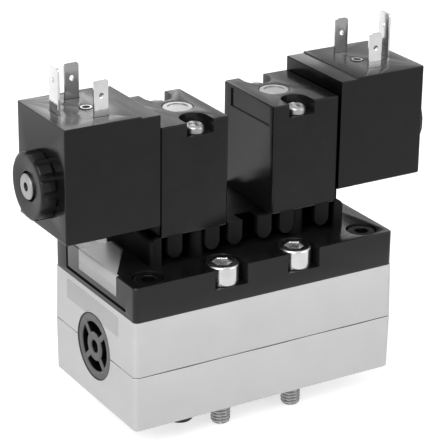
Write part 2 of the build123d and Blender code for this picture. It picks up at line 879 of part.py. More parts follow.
def power_contacts(side):
    with BuildPart() as contacts:
        for y in (-contact_pitch / 2, contact_pitch / 2):
            plane = Plane(origin=(side * contact_x, y, coil_top), x_dir=(1, 0, 0), z_dir=(0, -1, 0))
            add(blade(plane, power_width, power_height, power_hole_height))
    return contacts.part


def earth_contact(side):
    plane = Plane(origin=(side * earth_x, 0, coil_top), x_dir=(0, 1, 0), z_dir=(1, 0, 0))
    return blade(plane, earth_width, earth_height, earth_hole_height)


def terminal_insert(side):
    with BuildPart() as insert:
        with BuildSketch(Plane.XY.offset(coil_top - insert_length)):
            with Locations((side * contact_x, 0)):
                Circle(insert_radius)
                Circle(insert_thread_radius, mode=Mode.SUBTRACT)
        extrude(amount=insert_length + insert_proud)
    return insert.part


# Hand nut: fluted rim round a dished face, with a gap round the stud
def coil_nut(side):
    face_x = coil_outer_x + nut_length
    with BuildPart() as nut:
        with BuildSketch(Plane.YZ.offset(side * coil_outer_x)):
            with Locations((0, axis_z)):
                Circle(nut_radius)
                with PolarLocations(nut_radius + 2 * nut_flute_radius / 3, nut_flutes):
                    Circle(nut_flute_radius, mode=Mode.SUBTRACT)
        extrude(amount=side * nut_length)
        dish = turned(
            side,
            [
                (face_x, 0),
                (face_x, nut_radius - nut_rim),
                (face_x - nut_dish, nut_hub_radius),
                (face_x - nut_recess, nut_hub_radius),
                (face_x - nut_recess, 0),
            ],
        )
        add(dish, mode=Mode.SUBTRACT)
        bore_along_x(stud_radius + press_clearance, side * coil_outer_x, side * face_x, axis_z)
        with BuildSketch(Plane.YZ.offset(side * coil_outer_x)):
            with Locations((0, axis_z)):
                Circle(nut_ring_radius)
                Circle(nut_ring_radius - nut_ring_section, mode=Mode.SUBTRACT)
        extrude(amount=side * nut_ring_section, mode=Mode.SUBTRACT)
    return nut.part


for side, name in sides:
    write(pilot_block(side), "pilot_block_" + name)
    write(pan_screws(side), "pilot_screws_" + name)
    write(manual_override(side), "manual_override_" + name)
    override_spring_plane = Plane(origin=(side * override_x, 0, override_seat_z + override_wire_radius))
    override_spring = coil_spring(
        override_spring_plane,
        override_spring_height,
        override_coil_radius,
        override_wire_radius,
        override_turns,
    )
    write(override_spring, "override_spring_" + name)
    write(pilot_seat(side), "pilot_seat_" + name)
    write(armature_tube(side), "armature_tube_" + name)
    write(armature(side), "armature_" + name)
    write(armature_seal(side), "armature_seal_" + name)
    spring_plane = Plane(
        origin=(side * (core_x - spring_wire), 0, axis_z),
        x_dir=(0, 1, 0),
        z_dir=(-side, 0, 0),
    )
    armature_spring = coil_spring(spring_plane, spring_length, spring_radius, spring_wire, spring_turns)
    write(armature_spring, "armature_spring_" + name)
    write(coil(side), "coil_" + name)
    write(winding(side), "winding_" + name)
    write(power_contacts(side), "power_contacts_" + name)
    write(earth_contact(side), "earth_contact_" + name)
    write(terminal_insert(side), "terminal_insert_" + name)
    write(coil_nut(side), "coil_nut_" + name)
    ring_inner = nut_ring_radius - nut_ring_section + press_clearance
    nut_ring_run = side * (nut_ring_section - press_clearance)
    ring_outer = nut_ring_radius - press_clearance
    nut_ring = flat_ring(side * coil_outer_x, nut_ring_run, ring_outer, ring_inner, axis_z)
    write(nut_ring, "nut_ring_" + name)
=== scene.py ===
import json
import math

import bmesh
import bpy
from mathutils import Matrix, Vector


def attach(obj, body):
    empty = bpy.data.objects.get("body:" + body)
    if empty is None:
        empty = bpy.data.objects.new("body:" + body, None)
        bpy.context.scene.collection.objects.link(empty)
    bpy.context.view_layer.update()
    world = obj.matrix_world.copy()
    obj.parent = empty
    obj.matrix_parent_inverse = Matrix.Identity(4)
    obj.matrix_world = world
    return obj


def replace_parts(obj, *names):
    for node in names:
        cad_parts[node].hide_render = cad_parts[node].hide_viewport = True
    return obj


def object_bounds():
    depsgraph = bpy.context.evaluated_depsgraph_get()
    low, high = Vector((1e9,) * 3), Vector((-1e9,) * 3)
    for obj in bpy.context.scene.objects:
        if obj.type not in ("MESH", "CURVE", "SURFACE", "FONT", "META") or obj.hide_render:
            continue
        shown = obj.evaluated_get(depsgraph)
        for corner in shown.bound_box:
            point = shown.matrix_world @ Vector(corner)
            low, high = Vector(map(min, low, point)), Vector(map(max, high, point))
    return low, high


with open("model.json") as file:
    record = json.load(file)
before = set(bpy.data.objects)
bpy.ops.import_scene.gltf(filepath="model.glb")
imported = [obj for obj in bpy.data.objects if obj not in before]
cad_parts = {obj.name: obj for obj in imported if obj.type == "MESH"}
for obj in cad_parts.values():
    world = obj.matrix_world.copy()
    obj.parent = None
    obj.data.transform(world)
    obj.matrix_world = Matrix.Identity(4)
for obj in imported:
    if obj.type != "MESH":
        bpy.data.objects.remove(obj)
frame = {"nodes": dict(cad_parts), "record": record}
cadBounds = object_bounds()
nodes = frame["nodes"]
mounts = {row["name"]: row for row in frame["record"]["mounts"]}
print("frame loaded:", len(nodes), "nodes")


def spanOf(node):     # low and high corner of a solid, in metres
    piece = nodes[node]
    corners = [piece.matrix_world @ Vector(corner) for corner in piece.bound_box]
    return (Vector([min(corner[i] for corner in corners) for i in range(3)]),
            Vector([max(corner[i] for corner in corners) for i in range(3)]))


jointHeight = spanOf("lower_body")[1].z
coverLow, coverHigh = spanOf("cover")
blockLow, blockHigh = spanOf("pilot_block_right")
plugFace = spanOf("end_plug_right")[1].x
coilFace = spanOf("coil_right")[1].x
connector = Vector(mounts["plug_contacts_right"]["pos_m"])     # between the contacts, on the coil's face

camera = {
    "azimuth": -31.281,       # degrees, 0 looks along +Y
    "elevation": 22.139,
    "roll": 0.776,
    "distance": 0.62205,      # metres from the origin along the view axis
    "aside": -0.000218,
    "above": 0.044679,
    "focalPixels": 2000,
    "framePixels": 444,
    "sensor": 36.0,
    "near": 0.01,
    "far": 50,
}

studio = {
    "floorHalf": 4.0,
    "floorTone": 0.80,
    "floorLift": 0.56,        # added for camera rays only, so the paper reads white
    "worldDiffuse": 0.60,
    "glossFront": 0.80,       # what polished faces see towards the front right
    "glossBack": 1.08,        # and towards the back left
    "floorTurn": ((-0.52, 0.85, 0), 0.35),        # towards the brighter side, and the reach of the change
    "worldTurn": ((-0.50, 0.80, 0.33), 1.0),
    "aim": (0, 0, 0.04),      # where the softboxes point
}

softboxes = {     # place, power and size
    "keySoftbox": ((-0.7, -0.5, 0.9), 9.5, 0.8),
    "fillSoftbox": ((0.8, -0.9, 0.5), 3.5, 0.9),
    "rearSoftbox": ((0.30, 1.30, 0.78), 4.0, 0.8),     # seen in the tops of the black mouldings
}


def makeCamera():
    azimuth = math.radians(camera["azimuth"])
    elevation = math.radians(camera["elevation"])
    roll = math.radians(camera["roll"])
    back = Vector((math.sin(azimuth) * math.cos(elevation),
                   -math.cos(azimuth) * math.cos(elevation),
                   math.sin(elevation)))
    right = Vector((0, 0, 1)).cross(back).normalized()
    up = back.cross(right)
    rolledRight = right * math.cos(roll) + up * math.sin(roll)
    rolledUp = up * math.cos(roll) - right * math.sin(roll)
    data = bpy.data.cameras.new("photoCamera")
    data.sensor_width = camera["sensor"]
    data.lens = camera["sensor"] * camera["focalPixels"] / camera["framePixels"]
    data.clip_start = camera["near"]
    data.clip_end = camera["far"]
    eye = bpy.data.objects.new("photoCamera", data)
    bpy.context.scene.collection.objects.link(eye)
    turn = Matrix((rolledRight, rolledUp, back)).transposed().to_4x4()
    place = back * camera["distance"] + rolledRight * camera["aside"] + rolledUp * camera["above"]
    eye.matrix_world = Matrix.Translation(place) @ turn
    bpy.context.scene.camera = eye


def glossRamp(tree, vectorSocket, towards, span):     # from the front's brightness to the back's
    dot = tree.nodes.new("ShaderNodeVectorMath")
    dot.operation = "DOT_PRODUCT"
    tree.links.new(vectorSocket, dot.inputs[0])
    dot.inputs[1].default_value = towards
    ramp = tree.nodes.new("ShaderNodeMapRange")
    ramp.interpolation_type = "SMOOTHSTEP"
    tree.links.new(dot.outputs["Value"], ramp.inputs["Value"])
    ramp.inputs["From Min"].default_value = -span
    ramp.inputs["From Max"].default_value = span
    ramp.inputs["To Min"].default_value = studio["glossFront"]
    ramp.inputs["To Max"].default_value = studio["glossBack"]
    return ramp.outputs["Result"]


def makeFloor(level):
    half = studio["floorHalf"]
    corners = [(-half, -half, level), (half, -half, level), (half, half, level), (-half, half, level)]
    mesh = bpy.data.meshes.new("paperFloor")
    mesh.from_pydata(corners, [], [(0, 1, 2, 3)])
    floor = bpy.data.objects.new("paperFloor", mesh)
    bpy.context.scene.collection.objects.link(floor)
    material = bpy.data.materials.new("whitePaper")
    material.use_nodes = True
    tree = material.node_tree
    tree.nodes.clear()
    path = tree.nodes.new("ShaderNodeLightPath")
    place = tree.nodes.new("ShaderNodeTexCoord")
    diffuse = tree.nodes.new("ShaderNodeBsdfDiffuse")
    tone = studio["floorTone"]
    diffuse.inputs["Color"].default_value = (tone, tone, tone, 1)
    lift = tree.nodes.new("ShaderNodeEmission")
    lift.inputs["Color"].default_value = (1, 1, 1, 1)
    strength = tree.nodes.new("ShaderNodeMath")
    strength.operation = "MULTIPLY"
    tree.links.new(path.outputs["Is Camera Ray"], strength.inputs[0])
    strength.inputs[1].default_value = studio["floorLift"]
    tree.links.new(strength.outputs[0], lift.inputs["Strength"])
    seen = tree.nodes.new("ShaderNodeAddShader")
    tree.links.new(diffuse.outputs[0], seen.inputs[0])
    tree.links.new(lift.outputs[0], seen.inputs[1])
    mirrored = tree.nodes.new("ShaderNodeEmission")
    glow = glossRamp(tree, place.outputs["Object"], *studio["floorTurn"])
    tree.links.new(glow, mirrored.inputs["Strength"])
    pick = tree.nodes.new("ShaderNodeMixShader")
    tree.links.new(path.outputs["Is Glossy Ray"], pick.inputs[0])
    tree.links.new(seen.outputs[0], pick.inputs[1])
    tree.links.new(mirrored.outputs[0], pick.inputs[2])
    output = tree.nodes.new("ShaderNodeOutputMaterial")
    tree.links.new(pick.outputs[0], output.inputs["Surface"])
    mesh.materials.append(material)


def makeWorld():
    world = bpy.data.worlds.new("studioWorld")
    bpy.context.scene.world = world
    world.use_nodes = True
    tree = world.node_tree
    tree.nodes.clear()
    path = tree.nodes.new("ShaderNodeLightPath")
    place = tree.nodes.new("ShaderNodeTexCoord")
    glow = glossRamp(tree, place.outputs["Generated"], *studio["worldTurn"])
    mirror = tree.nodes.new("ShaderNodeMath")
    mirror.operation = "MAXIMUM"
    tree.links.new(path.outputs["Is Glossy Ray"], mirror.inputs[0])
    tree.links.new(path.outputs["Is Transmission Ray"], mirror.inputs[1])
    mixGloss = tree.nodes.new("ShaderNodeMix")
    mixGloss.data_type = "FLOAT"
    tree.links.new(mirror.outputs[0], mixGloss.inputs["Factor"])
    mixGloss.inputs["A"].default_value = studio["worldDiffuse"]
    tree.links.new(glow, mixGloss.inputs["B"])
    mixSeen = tree.nodes.new("ShaderNodeMix")
    mixSeen.data_type = "FLOAT"
    tree.links.new(path.outputs["Is Camera Ray"], mixSeen.inputs["Factor"])
    tree.links.new(mixGloss.outputs["Result"], mixSeen.inputs["A"])
    mixSeen.inputs["B"].default_value = 1.0
    background = tree.nodes.new("ShaderNodeBackground")
    tree.links.new(mixSeen.outputs["Result"], background.inputs["Strength"])
    output = tree.nodes.new("ShaderNodeOutputWorld")
    tree.links.new(background.outputs[0], output.inputs["Surface"])


def makeSoftbox(name, place, power, size):
    data = bpy.data.lights.new(name, "AREA")
    data.energy = power
    data.shape = "SQUARE"
    data.size = size
    lamp = bpy.data.objects.new(name, data)
    bpy.context.scene.collection.objects.link(lamp)
    lamp.location = place
    lamp.rotation_mode = "QUATERNION"
    lamp.rotation_quaternion = (Vector(studio["aim"]) - Vector(place)).to_track_quat("-Z", "Y")


bpy.context.scene.view_settings.view_transform = "Standard"
makeCamera()
makeWorld()
makeFloor(cadBounds[0].z)
for name, (place, power, size) in softboxes.items():
    makeSoftbox(name, place, power, size)
print("studio ready")


# Shader helpers: positions are metres in the part's frame, so a scale of 1000 is one cell a millimetre
def startMaterial(name, tone, metallic, roughness, specular=0.5):
    material = bpy.data.materials.new(name)
    material.use_nodes = True
    tree = material.node_tree
    shader = tree.nodes["Principled BSDF"]
    shader.inputs["Base Color"].default_value = (*tone, 1)
    shader.inputs["Metallic"].default_value = metallic
    shader.inputs["Roughness"].default_value = roughness
    shader.inputs["Specular IOR Level"].default_value = specular
    return material, tree, shader


def noiseField(tree, scale, detail):
    place = tree.nodes.new("ShaderNodeTexCoord")
    noise = tree.nodes.new("ShaderNodeTexNoise")
    noise.inputs["Scale"].default_value = scale
    noise.inputs["Detail"].default_value = detail
    tree.links.new(place.outputs["Object"], noise.inputs["Vector"])
    return noise.outputs["Fac"]


noiseReach = (0.3, 0.7)     # where nearly all of a noise field's values lie


def spread(tree, field, low, high):
    ramp = tree.nodes.new("ShaderNodeMapRange")
    ramp.inputs["From Min"].default_value = noiseReach[0]
    ramp.inputs["From Max"].default_value = noiseReach[1]
    ramp.inputs["To Min"].default_value = low
    ramp.inputs["To Max"].default_value = high
    tree.links.new(field, ramp.inputs["Value"])
    return ramp.outputs["Result"]


def tintBetween(tree, field, dark, light):
    mix = tree.nodes.new("ShaderNodeMix")
    mix.data_type = "RGBA"
    mix.inputs["A"].default_value = (*dark, 1)
    mix.inputs["B"].default_value = (*light, 1)
    tree.links.new(spread(tree, field, 0, 1), mix.inputs["Factor"])
    return mix.outputs["Result"]


def greyScale(tone):     # a hair on the cold side
    return (tone, tone, tone * 1.01)


def greysBetween(tree, field, tone, shares):
    dark, light = shares
    return tintBetween(tree, field, greyScale(min(1, tone * dark)), greyScale(min(1, tone * light)))


def addBump(tree, shader, reliefs):     # pairs of a field and its height in metres
    previous = None
    for field, height in reliefs:
        bump = tree.nodes.new("ShaderNodeBump")
        bump.inputs["Distance"].default_value = height
        bump.inputs["Strength"].default_value = 1.0
        tree.links.new(field, bump.inputs["Height"])
        if previous:
            tree.links.new(previous, bump.inputs["Normal"])
        previous = bump.outputs["Normal"]
    tree.links.new(previous, shader.inputs["Normal"])


def alongAxis(tree, axis, start, end, mirrored=True):     # 0 at the start and 1 at the end
    place = tree.nodes.new("ShaderNodeTexCoord")
    axes = tree.nodes.new("ShaderNodeSeparateXYZ")
    tree.links.new(place.outputs["Object"], axes.inputs["Vector"])
    value = axes.outputs[axis]
    if mirrored:
        outwards = tree.nodes.new("ShaderNodeMath")
        outwards.operation = "ABSOLUTE"
        tree.links.new(value, outwards.inputs[0])
        value = outwards.outputs[0]
    ramp = tree.nodes.new("ShaderNodeMapRange")
    ramp.inputs["From Min"].default_value = start
    ramp.inputs["From Max"].default_value = end
    tree.links.new(value, ramp.inputs["Value"])
    return ramp.outputs["Result"]


def darkened(tree, factor, tone, colour):     # the given tone where the factor is 0
    mix = tree.nodes.new("ShaderNodeMix")
    mix.data_type = "RGBA"
    mix.inputs["A"].default_value = (*greyScale(tone), 1)
    tree.links.new(factor, mix.inputs["Factor"])
    tree.links.new(colour, mix.inputs["B"])
    return mix.outputs["Result"]


alloyLook = {
    "tone": 0.62,
    "shares": (0.97, 1.03),            # darkest and lightest, as shares of the tone
    "metallic": 0.35,
    "roughness": 0.55,
    "roughnesses": (0.50, 0.60),
    "mottle": (90, 5),                 # scale and detail
    "mottleRelief": 0.000045,
    "blast": (3600, 2),
    "blastRelief": 0.000018,
}


def castAlloy(name, look):
    material, tree, shader = startMaterial(name, greyScale(look["tone"]), look["metallic"],
                                           look["roughness"])
    mottle = noiseField(tree, *look["mottle"])
    blast = noiseField(tree, *look["blast"])
    tree.links.new(greysBetween(tree, mottle, look["tone"], look["shares"]), shader.inputs["Base Color"])
    tree.links.new(spread(tree, mottle, *look["roughnesses"]), shader.inputs["Roughness"])
    addBump(tree, shader, [(blast, look["blastRelief"]), (mottle, look["mottleRelief"])])
    return material


mouldedLook = {
    "shares": (0.85, 1.2),
    "specular": 0.30,
    "handled": (140, 4),
    "smoother": 0.03,                  # how far the roughness goes below and above its value
    "rougher": 0.04,
    "spark": (5200, 2),
    "sparkRelief": 0.000012,
    # painted shade: body colour in the shaded stretches
    "paintedShadeTone": 0.0008,
}


def mouldedBlack(name, tone, roughness, specular=mouldedLook["specular"], paintedShade=None):
    look = mouldedLook
    material, tree, shader = startMaterial(name, greyScale(tone), 0.0, roughness, specular)
    spark = noiseField(tree, *look["spark"])
    handled = noiseField(tree, *look["handled"])
    colour = greysBetween(tree, handled, tone, look["shares"])
    if paintedShade:     # painted shade: no body colour, and no gloss seen straight on, so the stretch reads black as in deep shadow
        unshaded = alongAxis(tree, *paintedShade)
        colour = darkened(tree, unshaded, look["paintedShadeTone"], colour)
        shadeMetallic = tree.nodes.new("ShaderNodeMapRange")
        shadeMetallic.inputs["To Min"].default_value = 1
        shadeMetallic.inputs["To Max"].default_value = 0
        tree.links.new(unshaded, shadeMetallic.inputs["Value"])
        tree.links.new(shadeMetallic.outputs["Result"], shader.inputs["Metallic"])
    tree.links.new(colour, shader.inputs["Base Color"])
    roughnesses = spread(tree, handled, roughness - look["smoother"], roughness + look["rougher"])
    tree.links.new(roughnesses, shader.inputs["Roughness"])
    addBump(tree, shader, [(spark, look["sparkRelief"])])
    return material


plugLook = {
    "tone": 0.10,
    "shares": (0.85, 1.25),
    "roughness": 0.36,
    "specular": 0.35,
    "cloud": (300, 4),
    "grain": (4200, 2),
    "grainRelief": 0.00001,
    "slotShadeTone": 0.001,
    "slots": ("X", plugFace - 0.00040, plugFace - 0.00004),     # painted shade: black below the face, inside the slots
}


def plugPlastic(name, look):
    material, tree, shader = startMaterial(name, greyScale(look["tone"]), 0.0, look["roughness"],
                                           look["specular"])
    colour = greysBetween(tree, noiseField(tree, *look["cloud"]), look["tone"], look["shares"])
    # painted shade inside the slots: the colour falls to black below the face
    depth = alongAxis(tree, *look["slots"])
    tree.links.new(darkened(tree, depth, look["slotShadeTone"], colour), shader.inputs["Base Color"])
    addBump(tree, shader, [(noiseField(tree, *look["grain"]), look["grainRelief"])])
    return material


turnedLook = {
    "shares": (0.90, 1.06),
    "tarnish": (220, 4),
    "lay": (2400, 2),
    "layRelief": 0.000006,
    "smoother": 0.04,
    "rougher": 0.06,
    "paintedDarkShare": 0.50,                 # tone of a stretch of painted shade or painted dark reflection, as a share of the rest
}


def turnedSteel(name, tone, roughness, paintedDark=None):
    look = turnedLook
    material, tree, shader = startMaterial(name, greyScale(tone), 1.0, roughness)
    lay = noiseField(tree, *look["lay"])
    tarnish = noiseField(tree, *look["tarnish"])
    colour = greysBetween(tree, tarnish, tone, look["shares"])
    # painted shade or painted dark reflection: the stretch is darkened
    if paintedDark:
        colour = darkened(tree, alongAxis(tree, *paintedDark), tone * look["paintedDarkShare"], colour)
    tree.links.new(colour, shader.inputs["Base Color"])
    roughnesses = spread(tree, lay, roughness - look["smoother"], roughness + look["rougher"])
    tree.links.new(roughnesses, shader.inputs["Roughness"])
    addBump(tree, shader, [(lay, look["layRelief"])])
    return material


insertLook = {
    "tone": 0.62,
    "shares": (0.92, 1.05),
    "roughness": 0.34,
    "cloud": (400, 3),
    "knurlStart": 0.00178,             # radius where the knurled outside is fully dark
    "knurlEnd": 0.00160,
    "knurlTone": 0.03,
}


def distanceFromInsert(tree):     # level distance from the axis of the nearer terminal insert
    place = tree.nodes.new("ShaderNodeTexCoord")
    folded = tree.nodes.new("ShaderNodeVectorMath")
    folded.operation = "ABSOLUTE"
    tree.links.new(place.outputs["Object"], folded.inputs[0])
    offset = tree.nodes.new("ShaderNodeVectorMath")
    offset.operation = "SUBTRACT"
    tree.links.new(folded.outputs["Vector"], offset.inputs[0])
    offset.inputs[1].default_value = (connector.x, 0, 0)
    level = tree.nodes.new("ShaderNodeVectorMath")
    level.operation = "MULTIPLY"
    tree.links.new(offset.outputs["Vector"], level.inputs[0])
    level.inputs[1].default_value = (1, 1, 0)
    reach = tree.nodes.new("ShaderNodeVectorMath")
    reach.operation = "LENGTH"
    tree.links.new(level.outputs["Vector"], reach.inputs[0])
    return reach.outputs["Value"]


def insertNickel(name, look):
    material, tree, shader = startMaterial(name, greyScale(look["tone"]), 1.0, look["roughness"])
    rim = tree.nodes.new("ShaderNodeMapRange")
    rim.inputs["From Min"].default_value = look["knurlStart"]
    rim.inputs["From Max"].default_value = look["knurlEnd"]
    tree.links.new(distanceFromInsert(tree), rim.inputs["Value"])
    colour = greysBetween(tree, noiseField(tree, *look["cloud"]), look["tone"], look["shares"])
    colour = darkened(tree, rim.outputs["Result"], look["knurlTone"], colour)
    tree.links.new(colour, shader.inputs["Base Color"])
    return material


warmLook = {
    "cloud": (400, 4),
    "relief": 0.00001,
}


def warmMetal(name, dark, light, roughness):
    material, tree, shader = startMaterial(name, light, 1.0, roughness)
    cloud = noiseField(tree, *warmLook["cloud"])
    tree.links.new(tintBetween(tree, cloud, dark, light), shader.inputs["Base Color"])
    addBump(tree, shader, [(cloud, warmLook["relief"])])
    return material


rubberLook = {
    "tone": 0.03,
    "shares": (0.733, 1.5),
    "roughness": 0.62,
    "bloom": (500, 5),
    "relief": 0.00001,
}


def softRubber(name, look):
    material, tree, shader = startMaterial(name, greyScale(look["tone"]), 0.0, look["roughness"])
    bloom = noiseField(tree, *look["bloom"])
    tree.links.new(greysBetween(tree, bloom, look["tone"], look["shares"]), shader.inputs["Base Color"])
    addBump(tree, shader, [(bloom, look["relief"])])
    return material


foilLook = {
    "tone": 0.50,
    "shares": (0.94, 1.04),
    "roughness": 0.34,
    "cloud": (120, 3),
    "fibre": (1500, 3),
    "relief": 0.000004,
}


def labelFoil(name, look):
    material, tree, shader = startMaterial(name, greyScale(look["tone"]), 0.0, look["roughness"])
    cloud = noiseField(tree, *look["cloud"])
    tree.links.new(greysBetween(tree, cloud, look["tone"], look["shares"]), shader.inputs["Base Color"])
    addBump(tree, shader, [(noiseField(tree, *look["fibre"]), look["relief"])])
    return material


# Stretches along the part's axes, in metres: a finish changes from the first place to the second.
# False at the end keeps the change to one side of the part.
# Painted shade in the moulded finishes: the manifold's core under the pilots, the blocks' outer edge at the
# seam with the coils, and the coils' inner end at that seam
paintedShadeZones = {
    "manifoldCoreShade": ("Y", 0.0116, 0.0143),
    "blockSeamShade": ("X", blockHigh.x - 0.0005, blockHigh.x - 0.0008),
    "coilSeamShade": ("X", blockHigh.x + 0.0001, blockHigh.x + 0.0003),
}
# Painted darkening of turned metal
paintedDarkStretches = {
    # painted shade on the screw tips below the body
    "screwTipsShade": ("Z", -0.0004, 0.0006, False),
    # painted dark reflection on the rear power contacts
    "rearContactsDarkReflection": ("Y", 0.0084, 0.0078, False),
}
finishes = {
    "cast_alloy": castAlloy("castAlloy", alloyLook),
    "sleeve_alloy": turnedSteel("sleeveAlloy", tone=0.62, roughness=0.30),
    "spool_alloy": turnedSteel("spoolAlloy", tone=0.58, roughness=0.28),
    "seal_rubber": softRubber("sealRubber", rubberLook),
    "plug_plastic": plugPlastic("plugPlastic", plugLook),
    "pin_plastic": mouldedBlack("pinPlastic", tone=0.02, roughness=0.5),
    # the screw tips below the body carry painted shade
    "screw_steel": turnedSteel("platedScrew", tone=0.86, roughness=0.22, paintedDark=paintedDarkStretches["screwTipsShade"]),
    "screw_black": turnedSteel("blackScrew", tone=0.025, roughness=0.44),
    "cover_plastic": mouldedBlack("coverPlastic", tone=0.007, roughness=0.20, specular=0.42),
    "label_foil": labelFoil("labelFoil", foilLook),
    # the manifold's core carries painted shade
    "manifold_plastic": mouldedBlack("manifoldPlastic", tone=0.006, roughness=0.55, specular=0.14,
                                     paintedShade=paintedShadeZones["manifoldCoreShade"]),
    # the blocks' edge at the seam carries painted shade
    "block_plastic": mouldedBlack("blockPlastic", tone=0.008, roughness=0.20, specular=0.27,
                                  paintedShade=paintedShadeZones["blockSeamShade"]),
    "override_steel": turnedSteel("overrideSteel", tone=0.42, roughness=0.34),
    "spring_steel": turnedSteel("springSteel", tone=0.60, roughness=0.30),
    "brass": warmMetal("seatBrass", dark=(0.50, 0.36, 0.16), light=(0.78, 0.60, 0.30), roughness=0.28),
    "insert_nickel": insertNickel("insertNickel", insertLook),
    "tube_steel": turnedSteel("tubeSteel", tone=0.42, roughness=0.36),
    "armature_steel": turnedSteel("armatureSteel", tone=0.62, roughness=0.26),
    # the coils' inner end at the seam carries painted shade
    "coil_plastic": mouldedBlack("coilPlastic", tone=0.006, roughness=0.16, specular=0.30,
                                 paintedShade=paintedShadeZones["coilSeamShade"]),
    "winding_copper": warmMetal("windingCopper", dark=(0.50, 0.20, 0.10), light=(0.80, 0.40, 0.22),
                                roughness=0.32),
    # the rear power contacts carry a painted dark reflection
    "contact_tin": turnedSteel("contactTin", tone=0.84, roughness=0.08, paintedDark=paintedDarkStretches["rearContactsDarkReflection"]),
    "nut_plastic": mouldedBlack("nutPlastic", tone=0.008, roughness=0.30),
}
slotOf = {row["node"]: row["material_slot"] for row in frame["record"]["subparts"]}
for node, piece in nodes.items():
    piece.data.materials.clear()
    piece.data.materials.append(finishes[slotOf[node]])
print("finishes laid on", len(nodes), "nodes")

softEdges = {     # metres of rounding on the sharp edges of the moulded and cast pieces
    "lower_body": 0.0003,
    "upper_body": 0.0003,
    "cover": 0.00025,
    "pilot_manifold": 0.0003,
    "pilot_block_left": 0.0003,
    "pilot_block_right": 0.0003,
    "coil_left": 0.0003,
    "coil_right": 0.0003,
    "end_plug_left": 0.0002,
    "end_plug_right": 0.0002,
}
edgeWork = {
    "weld": 0.000005,         # metres between points that are one
    "flat": 0.6,              # degrees between faces that are one
    "sharp": 40,              # degrees from which an edge is rounded
    "segments": 3,
}


def softenEdges(node, width):
    piece = nodes[node]
    weld = piece.modifiers.new("weld", "WELD")
    weld.merge_threshold = edgeWork["weld"]
    flatten = piece.modifiers.new("flatten", "DECIMATE")
    flatten.decimate_type = "DISSOLVE"
    flatten.angle_limit = math.radians(edgeWork["flat"])
    bevel = piece.modifiers.new("bevel", "BEVEL")
    bevel.width = width
    bevel.segments = edgeWork["segments"]
    bevel.limit_method = "ANGLE"
    bevel.angle_limit = math.radians(edgeWork["sharp"])
    bevel.harden_normals = True


for node, width in softEdges.items():
    softenEdges(node, width)
for piece in nodes.values():
    piece.data.shade_smooth()
print("edges rounded")

# Mesh helpers: a piece is made of rings with the same number of points
def circleAngles(count):
    return [2 * math.pi * i / count for i in range(count)]


def quarterTurns(steps):     # from 0 to 90 degrees, in radians
    return [math.pi / 2 * step / steps for step in range(steps + 1)]


def ringOf(centre, height, radii):
    return [Vector((centre[0] + radius * math.cos(turn), centre[1] + radius * math.sin(turn), height))
            for turn, radius in zip(circleAngles(len(radii)), radii)]


def roundRing(centre, height, radius, count):
    return ringOf(centre, height, [radius] * count)


def addRows(mesh, rings):
    return [[mesh.verts.new(point) for point in ring] for ring in rings]


def joinRows(mesh, rows, closed=True):     # closed joins the last ring to the first as well
    following = rows[1:] + rows[:1] if closed else rows[1:]
    for low, high in zip(rows, following):
        for i in range(len(low)):
            j = (i + 1) % len(low)
            mesh.faces.new((low[i], low[j], high[j], high[i]))


def addStack(mesh, rings):     # a bar of rings with a fan of faces over each end
    rows = addRows(mesh, rings)
    joinRows(mesh, rows, closed=False)
    for row, flip in ((rows[0], True), (rows[-1], False)):
        middle = mesh.verts.new(sum((v.co for v in row), Vector()) / len(row))
        for i in range(len(row)):
            j = (i + 1) % len(row)
            mesh.faces.new((row[j], row[i], middle) if flip else (row[i], row[j], middle))


def placePiece(name, mesh, slot, sharpAngle=35, finish=None):
    data = bpy.data.meshes.new(name)
    mesh.to_mesh(data)
    mesh.free()
    data.shade_smooth()
    data.set_sharp_from_angle(angle=math.radians(sharpAngle))
    piece = bpy.data.objects.new(name, data)
    bpy.context.scene.collection.objects.link(piece)
    data.materials.append(finish or finishes[slot])
    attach(piece, "housing")
    return piece


# Socket head screws with a rolled thread, a rounded rim and a hexagon socket
screwPattern = mounts["mounting_studs"]["dims"]     # spacings in millimetres
screwLow, screwHigh = spanOf("mounting_screws")
mountingScrew = {
    "points": 48,
    "halfX": screwPattern["spacing_x_mm"] / 2000,
    "halfY": screwPattern["spacing_y_mm"] / 2000,
    "tip": screwLow.z,
    "top": screwHigh.z,
    "threadTop": -0.0001,
    "crest": 0.0030,
    "root": 0.00252,
    "pitch": 0.001,
    "rowsPerPitch": 8,
    "tipRound": 0.0017,
    "threadEnd": 0.0001,
    "neck": 0.00265,
    "head": 0.0050,
    "headHeight": 0.0060,
    "rim": 0.0007,
    "rimSteps": 6,
    "seatEdge": 0.0002,
    "across": 0.0050,
    "socketDepth": 0.0032,
    "socketEdge": 0.00015,
    "socketCone": 0.0004,
}
coverScrewLow, coverScrewHigh = spanOf("cover_screws")
coverScrew = dict(
    mountingScrew,
    halfX=0.037,
    halfY=0.019,
    tip=coverScrewLow.z,
    top=coverScrewHigh.z,
    threadTop=0.0239,
    crest=0.0025,
    root=0.00212,
    pitch=0.0008,
    rowsPerPitch=6,
    tipRound=0.0006,
    neck=0.00225,
    head=0.00425,
    headHeight=0.0050,
    rim=0.0005,
    across=0.0040,
    socketDepth=0.0024,
)
threadForm = {
    "level": 1.85,     # the crest is flat where level minus slope times distance is over 1
    "slope": 4.4,
}
coneShare = 0.35       # width of the drilled cone under a socket, as a share of the socket


def threadRadius(screw, height, limit, angle):
    phase = (height / screw["pitch"] - angle / (2 * math.pi)) % 1
    wave = min(1, max(0, threadForm["level"] - threadForm["slope"] * abs(phase - 0.5)))
    return min(limit, screw["root"] + (screw["crest"] - screw["root"]) * wave)


